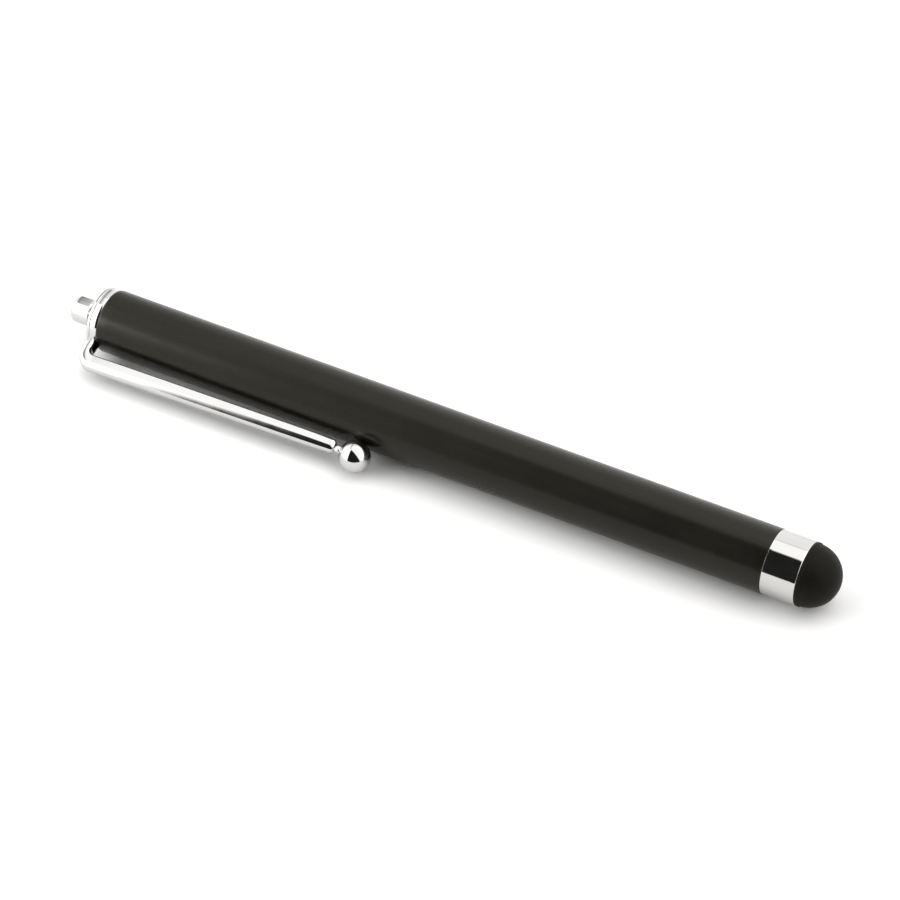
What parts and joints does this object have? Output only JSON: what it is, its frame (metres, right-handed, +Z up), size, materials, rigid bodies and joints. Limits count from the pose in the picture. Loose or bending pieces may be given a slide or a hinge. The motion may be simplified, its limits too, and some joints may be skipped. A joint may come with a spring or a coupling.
{
  "type": "stylus pen",
  "caption": "Slim round touch-screen stylus: black tube, bright front ring, soft rubber dome tip, sprung pocket clip with a ball end, and a necked lanyard post at the tail.",
  "frame": {"origin": "centre of the bounding box's underside, on the surface the pen lies on", "axes": "+X along the pen towards the rubber tip, +Z up from the surface it lies on, the clip on the -Y side"},
  "size_m": [0.1162, 0.0132, 0.009],
  "materials": {
    "black_lacquer": "satin black lacquer on aluminium",
    "chrome": "polished plating",
    "black_rubber": "matte conductive rubber",
    "brass": "turned, unplated"
  },
  "bodies": {
    "pen": {"barrel": "black_lacquer", "tip_ferrule": "chrome", "tip_core": "brass", "tail_bushing": "brass", "end_cap": "chrome", "clip_root": "chrome"},
    "clip": {"clip_arm": "chrome", "clip_ball": "chrome"},
    "tip": {"rubber_tip": "black_rubber"}
  },
  "joints": [
    {"name": "clip_flex", "type": "hinge", "parent": "pen", "child": "clip", "pos_m": [-0.0509, -0.00513, 0.00243], "axis": [0, 0.2756, -0.9613], "range_deg": [0, 3.5], "stiffness_Nm_per_rad": 5},
    {"name": "tip_press", "type": "slide", "parent": "pen", "child": "tip", "axis": [-1, 0, 0], "range_m": [0, 0.0012], "stiffness_N_per_m": 350, "deforming": ["rubber_tip"]}
  ]
}
